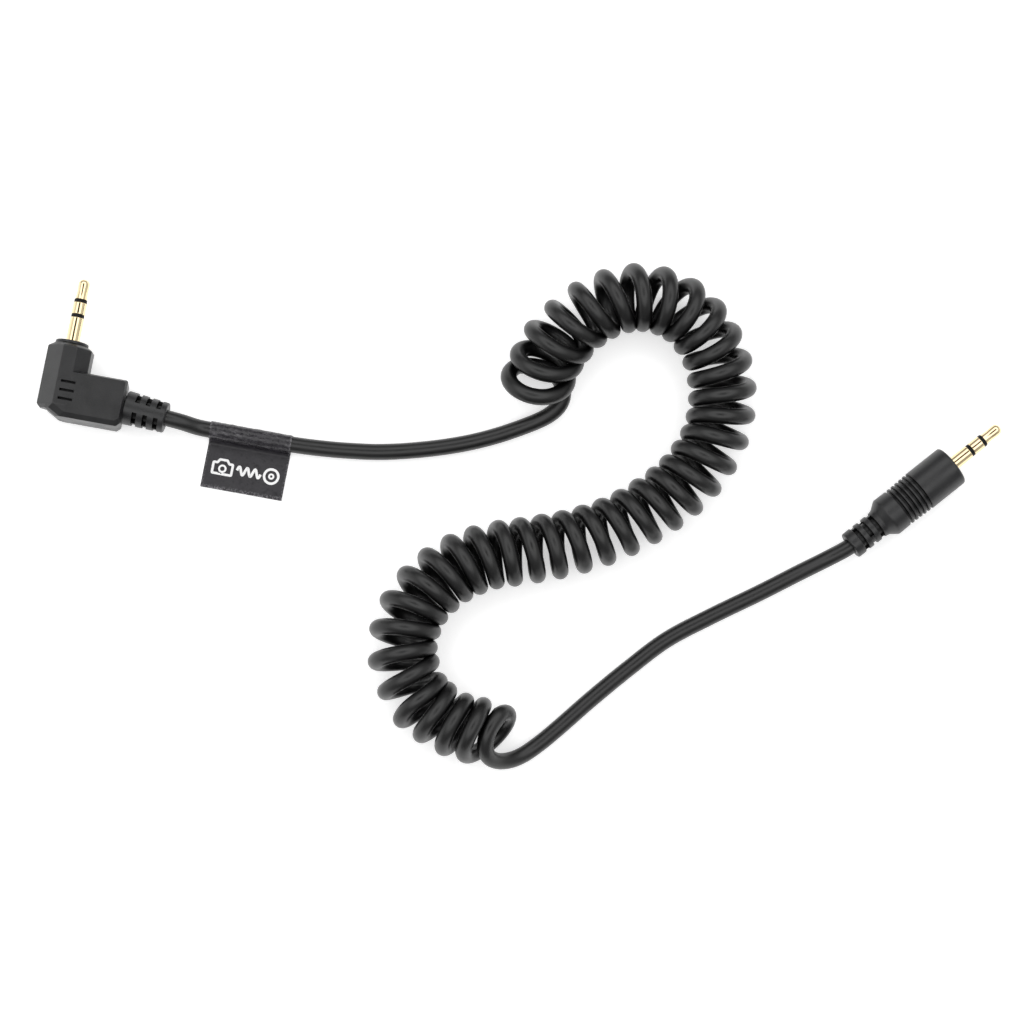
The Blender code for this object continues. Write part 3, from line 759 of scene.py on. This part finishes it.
def build_camera_relief(prefix, matrix):
    """The slotted sleeve that the cord leaves by, with shallow notches between its slots."""
    relief = new_object(prefix + "strain_relief_piece", lathe(fillet([
        (BORE, RELIEF_GAP, 0), (RELIEF_ROOT_R, RELIEF_GAP, 0.12), (RELIEF_END_R, -RELIEF_LENGTH, 0.3),
        (BORE, -RELIEF_LENGTH, 0),
    ]), FINE_SIDES))
    slots = []
    for station in SLOT_STATIONS:
        slots += [sector(SLOT_FLOOR_R, start, end, station) for start, end in SLOT_ANGLES]
        slots += [sector(NOTCH_FLOOR_R, start, end, station) for start, end in NOTCH_ANGLES]
    carve(relief, slots)
    turn = Matrix.Translation((-ARM_STATION - RELIEF_GAP, ARM_END - RELIEF_GAP, 0))
    turn = turn @ Matrix.Rotation(math.radians(90.0 + RELIEF_TURN), 4, "Z")
    keep(relief, moulded, [prefix + "strain_relief"], matrix @ turn)


def build_camera_plug():
    prefix = "camera_plug_"
    matrix = plug_matrix("camera_plug_seat", CAMERA_AXIS)
    build_pin(prefix, matrix, CAMERA_PIN)
    turned(prefix + "front_collar", fillet([
        (MOUTH_R, 0.0, 0.05), (COLLAR_R, 0.0, 0.15), (COLLAR_R, -COLLAR_T, 0.05), (MOUTH_R, -COLLAR_T, 0),
    ]), moulded, matrix)
    build_camera_housing(prefix, matrix)
    build_camera_relief(prefix, matrix)


def remote_outline():
    """The straight plug's outer side and bore, as (radius, station) with its edges rounded."""
    corners = [(MOUTH_R, 0.0, 0.08), (REMOTE_R, 0.0, 0.45), (REMOTE_R, RIB_START, 0.1)]
    for k in range(RIB_COUNT + 1):
        edge = RIB_START + k * RIB_PITCH
        rib = REMOTE_R - 0.02 - 0.03 * k
        floor = rib - GROOVE_DEPTH
        corners += [(floor, edge + 0.05, 0.08), (floor, edge + GROOVE_W - 0.05, 0.08),
                    (rib, edge + GROOVE_W, 0.1)]
        if k < RIB_COUNT:
            corners.append((rib, edge + RIB_PITCH, 0.1))
    corners += [(3.84, 15.5, 0.7), (2.8, 16.9, 0.7), (2.62, 17.5, 0.3)]
    for station, _ in REMOTE_SLOTS:
        near, far = station - SLOT_W / 2, station + SLOT_W / 2
        corners += [
            (REMOTE_RELIEF_R, near, 0.12), (REMOTE_NOTCH_R, near + 0.05, 0.08),
            (REMOTE_NOTCH_R, far - 0.05, 0.08), (REMOTE_RELIEF_R, far, 0.12),
        ]
    corners += [
        (REMOTE_RELIEF_R, REMOTE_LENGTH, 0.3),
        (BORE, REMOTE_LENGTH, 0), (BORE, 13.6, 0), (2.5, 12.6, 0), (2.5, 7.9, 0),
        (CAVITY_R, 7.7, 0), (CAVITY_R, 0.5, 0), (MOUTH_R, 0.5, 0),
    ]
    return [(radius, -station) for radius, station in fillet(corners, steps=3)]


def build_remote_plug():
    prefix = "remote_plug_"
    matrix = plug_matrix("remote_plug_seat", REMOTE_AXIS)
    build_pin(prefix, matrix, REMOTE_PIN)
    housing = new_object(prefix + "housing_piece", lathe(remote_outline(), FINE_SIDES))
    slots = []
    for station, turn in REMOTE_SLOTS:
        for middle in (90.0 + turn, 270.0 + turn):
            start, end = middle - REMOTE_SLOT_HALF, middle + REMOTE_SLOT_HALF
            slots.append(sector(REMOTE_SLOT_FLOOR_R, start, end, station))
    carve(housing, slots)
    keep(housing, moulded, [prefix + "housing"], matrix)


# ---- label --------------------------------------------------------------------------------

def crinkle(x, y):
    """How far the vinyl stands up at a place on the flap: the folds of a handled label (mm)."""
    spot = Vector((x * 0.55, y * 0.55, 4.0))
    fine = Vector((x * 1.9, y * 1.9, 9.0))
    height = 0.14 * noise.noise(spot) + 0.035 * noise.noise(fine) + 0.08
    return max(0.0, height) * min(1.0, max(0.0, (-y - FLAP_START) / 1.5))


def label_line(x):
    """The folded sheet's middle line in the plane across the cord, at x along it (mm).

    It comes in along the lower ply, round behind the cord, over the top and out along the upper.
    """
    axis_z = LABEL_CENTRE[2]
    low = LABEL_SHEET / 2 + 0.03
    high = low + LABEL_SHEET + 0.02
    arc_r = LABEL_HOLE_R + LABEL_SHEET / 2
    points = []
    flap = [-LABEL_REACH + (LABEL_REACH - FLAP_START) * k / FLAP_STEPS for k in range(FLAP_STEPS + 1)]
    for y in flap:
        points.append(Vector((y, low + crinkle(x, y))))
    for k in range(WRAP_STEPS + 1):
        a = math.radians(WRAP_START + WRAP_TURN * k / WRAP_STEPS)
        ripple = 0.07 * noise.noise(Vector((x * 1.2, a * 2.0, 2.0)))
        ripple += 0.03 * noise.noise(Vector((x * 4.0, a * 6.0, 5.0)))
        points.append(Vector((arc_r + ripple, 0.0)))
        points[-1].rotate(Matrix.Rotation(a, 2))
        points[-1].y += axis_z
    fold = [(-1.66, 0.8), (-1.82, 0.5), (-FLAP_START, high)]
    points += [Vector(p) for p in fold]
    for y in reversed(flap[:-1]):
        points.append(Vector((y, high + crinkle(x, y))))
    return points


def build_label():
    """A vinyl strip folded round the lead, its two ends stuck face to face as a flag."""
    rings = []
    for k in range(LABEL_RINGS + 1):
        x = LABEL_LENGTH * (k / LABEL_RINGS - 0.5)
        line = label_line(x)
        outer, inner = [], []
        for i, p in enumerate(line):
            run = (line[min(i + 1, len(line) - 1)] - line[max(i - 1, 0)]).normalized()
            across = Vector((run.y, -run.x)) * LABEL_SHEET / 2
            outer.append(Vector((x, *(p + across))))
            inner.append(Vector((x, *(p - across))))
        rings.append(outer + list(reversed(inner)))
    bm = skin(rings, closed_ends=False)
    bm.verts.ensure_lookup_table()
    count = len(rings[0])
    for base in (0, len(bm.verts) - count):
        for i in range(count // 2 - 1):
            bm.faces.new([bm.verts[base + j] for j in (i, i + 1, count - 2 - i, count - 1 - i)])
    label = new_object("label", bm)
    keep(label, label_material(), ["label_flag"], Matrix.Scale(MM, 4), LABEL_CREASE)
    label.matrix_world = label_matrix()
    return label


def label_matrix():
    """The label's place: its own X runs along the lead, and its flap points to its -Y."""
    place = Vector((LABEL_CENTRE[0], LABEL_CENTRE[1], 0.0)) * MM
    return Matrix.Translation(place) @ Matrix.Rotation(math.radians(LABEL_ANGLE), 4, "Z")


def stroke(bm, line, closed, width=PRINT_WIDTH):
    """A flat printed stroke along a line of (x, y) on the label, laid over its folds."""
    pts = [Vector(p) for p in line]
    rows = []
    for i, p in enumerate(pts):
        before = pts[i - 1] if closed or i else p
        after = pts[(i + 1) % len(pts)] if closed or i < len(pts) - 1 else p
        run = (after - before).normalized()
        across = Vector((-run.y, run.x)) * width / 2
        pair = []
        for edge in (p + across, p - across):
            z = 2 * LABEL_SHEET + PRINT_LIFT + crinkle(edge.x, edge.y)
            upper = bm.verts.new((edge.x, edge.y, z + PRINT_TOP))
            lower = bm.verts.new((edge.x, edge.y, z - PRINT_SUNK))
            pair.append((upper, lower))
        rows.append(pair)
    count = len(rows)
    for i in range(count if closed else count - 1):
        (a, a_low), (b, b_low) = rows[i]
        (c, c_low), (d, d_low) = rows[(i + 1) % count]
        bm.faces.new((a, c, d, b))
        bm.faces.new((a_low, b_low, d_low, c_low))
        bm.faces.new((a, a_low, c_low, c))
        bm.faces.new((b, d, d_low, b_low))
    if not closed:
        for (a, a_low), (b, b_low) in (rows[0], rows[-1]):
            bm.faces.new((a, b, b_low, a_low))


def build_print():
    """White pictograms on the flap: a camera, the cord, and a round remote button."""
    bm = bmesh.new()
    middle = PRINT_MIDDLE

    def ring(x, y, radius, width):
        turns = [2 * math.pi * k / PRINT_SIDES for k in range(PRINT_SIDES)]
        stroke(bm, [(x + radius * math.cos(a), y + radius * math.sin(a)) for a in turns], True, width)

    body = [(-6.0, -1.2), (-6.0, 0.85), (-5.3, 0.85), (-4.9, 1.45), (-3.5, 1.45), (-3.1, 0.85),
            (-2.4, 0.85), (-2.4, -1.2)]
    outline = fillet([(x, middle + y, 0.15) for x, y in body])
    stroke(bm, outline, True, 0.45)
    ring(-4.2, middle - 0.2, 0.6, 0.36)
    wave = []
    for k in range(45):
        share = k / 44
        wave.append((-1.5 + 4.4 * share, middle + 0.75 * math.sin(2 * math.pi * share * 3)))
    stroke(bm, wave, False)
    ring(4.9, middle, 1.32, 0.46)
    ring(4.9, middle, 0.4, 0.34)
    obj = new_object("label_print", bm)
    ink = material("white_ink", (0.93, 0.93, 0.93), (0.98, 0.98, 0.98), (0.5, 0.65), 0.1, 3000.0)
    keep(obj, ink, [], Matrix.Scale(MM, 4))
    obj.matrix_world = label_matrix()
    return obj


# ---- the scene ----------------------------------------------------------------------------

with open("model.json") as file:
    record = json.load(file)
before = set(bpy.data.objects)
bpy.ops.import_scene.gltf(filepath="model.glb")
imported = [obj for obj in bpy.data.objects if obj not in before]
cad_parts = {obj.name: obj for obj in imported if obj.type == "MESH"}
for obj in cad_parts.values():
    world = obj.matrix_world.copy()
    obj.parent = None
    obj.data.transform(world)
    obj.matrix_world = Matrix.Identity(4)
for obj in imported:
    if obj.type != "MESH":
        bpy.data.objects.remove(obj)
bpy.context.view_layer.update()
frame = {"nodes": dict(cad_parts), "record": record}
build_camera()
build_stage()

jacket = material("cord_jacket", (0.0045, 0.0045, 0.0046), (0.007, 0.007, 0.0072),
                  (0.3, 0.38), 0.12, 5000.0, specular=0.55, crevice=2.5)
moulded = material("moulded_pvc", (0.0062, 0.0064, 0.007), (0.0098, 0.01, 0.011),
                   (0.32, 0.42), 0.4, 6000.0, specular=0.58, crevice=1.2)
gold = material("gold_plate", (0.93, 0.76, 0.44), (0.97, 0.82, 0.54),
                (0.08, 0.13), 0.02, 4000.0, metallic=1.0)
nylon = material("pole_insulator", (0.004, 0.004, 0.004), (0.007, 0.007, 0.007),
                 (0.4, 0.5), 0.1, 5000.0, specular=0.2)
polythene = material("inner_mould", (0.68, 0.68, 0.64), (0.78, 0.78, 0.75), (0.45, 0.6), 0.2, 3000.0)
red = material("red_wire", (0.5, 0.04, 0.03), (0.62, 0.06, 0.045), (0.4, 0.55), 0.1, 4000.0)
white = material("white_wire", (0.78, 0.78, 0.76), (0.86, 0.86, 0.84), (0.4, 0.55), 0.1, 4000.0)
copper = material("bare_copper", (0.75, 0.36, 0.22), (0.88, 0.48, 0.32),
                  (0.25, 0.4), 0.3, 6000.0, metallic=1.0)

path = cord_path()
cord = sweep("cord", path, CORD_R, CORD_SIDES, jacket)
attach(cord, "root")
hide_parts("curly_cord", "camera_lead", "remote_lead",
            "camera_plug_cord_end", "remote_plug_cord_end")

label = build_label()
label_print = build_print()
build_camera_plug()
build_remote_plug()

FINISH = {
    "plug_moulding": moulded, "cord_jacket": jacket, "gold_contact": gold, "pole_insulator": nylon,
    "inner_mould": polythene, "label_vinyl": moulded, "wire_red": red, "wire_white": white,
    "wire_copper": copper,
}
for entry in frame["record"]["subparts"]:
    obj = frame["nodes"][entry["node"]]
    obj.data.materials.clear()
    obj.data.materials.append(FINISH[entry["material_slot"]])
